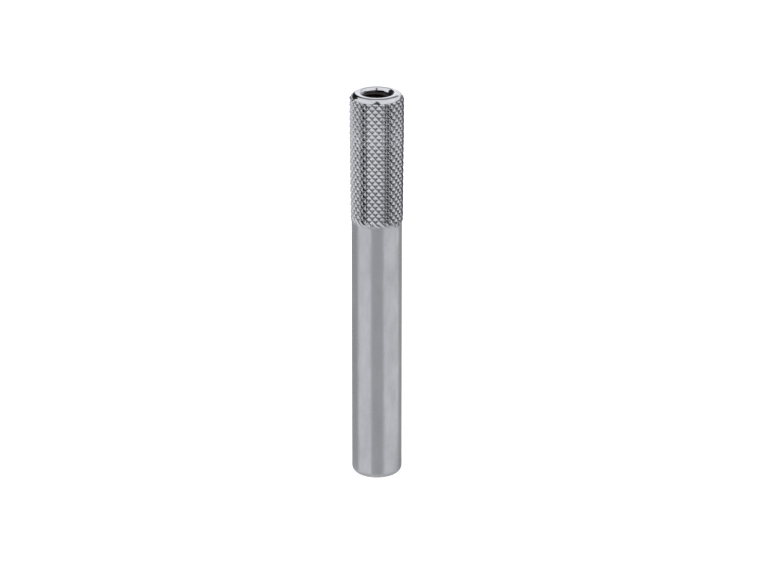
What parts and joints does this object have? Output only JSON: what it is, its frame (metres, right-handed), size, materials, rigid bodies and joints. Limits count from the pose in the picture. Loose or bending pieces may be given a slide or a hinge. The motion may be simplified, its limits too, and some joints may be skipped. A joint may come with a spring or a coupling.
{
  "type": "knurled tool handle",
  "caption": "Slim round steel tool handle with a diamond-knurled grip, a rounded lip, a threaded socket in its top face and a plain shank.",
  "frame": {"origin": "centre of the base, on the handle's axis, at the level of the surface that it stands on", "axes": "+Z along the handle's axis, from the base to the socket's mouth; -Y is the side that faces the viewer; the handle is round, so X and Y only set the turn of the knurl"},
  "size_m": [0.0136, 0.0136, 0.1016],
  "materials": {
    "plated_steel": "satin plated steel, with a bright lip and a knurled grip"
  },
  "bodies": {
    "root": {"handle_body": "plated_steel"}
  },
  "joints": []
}
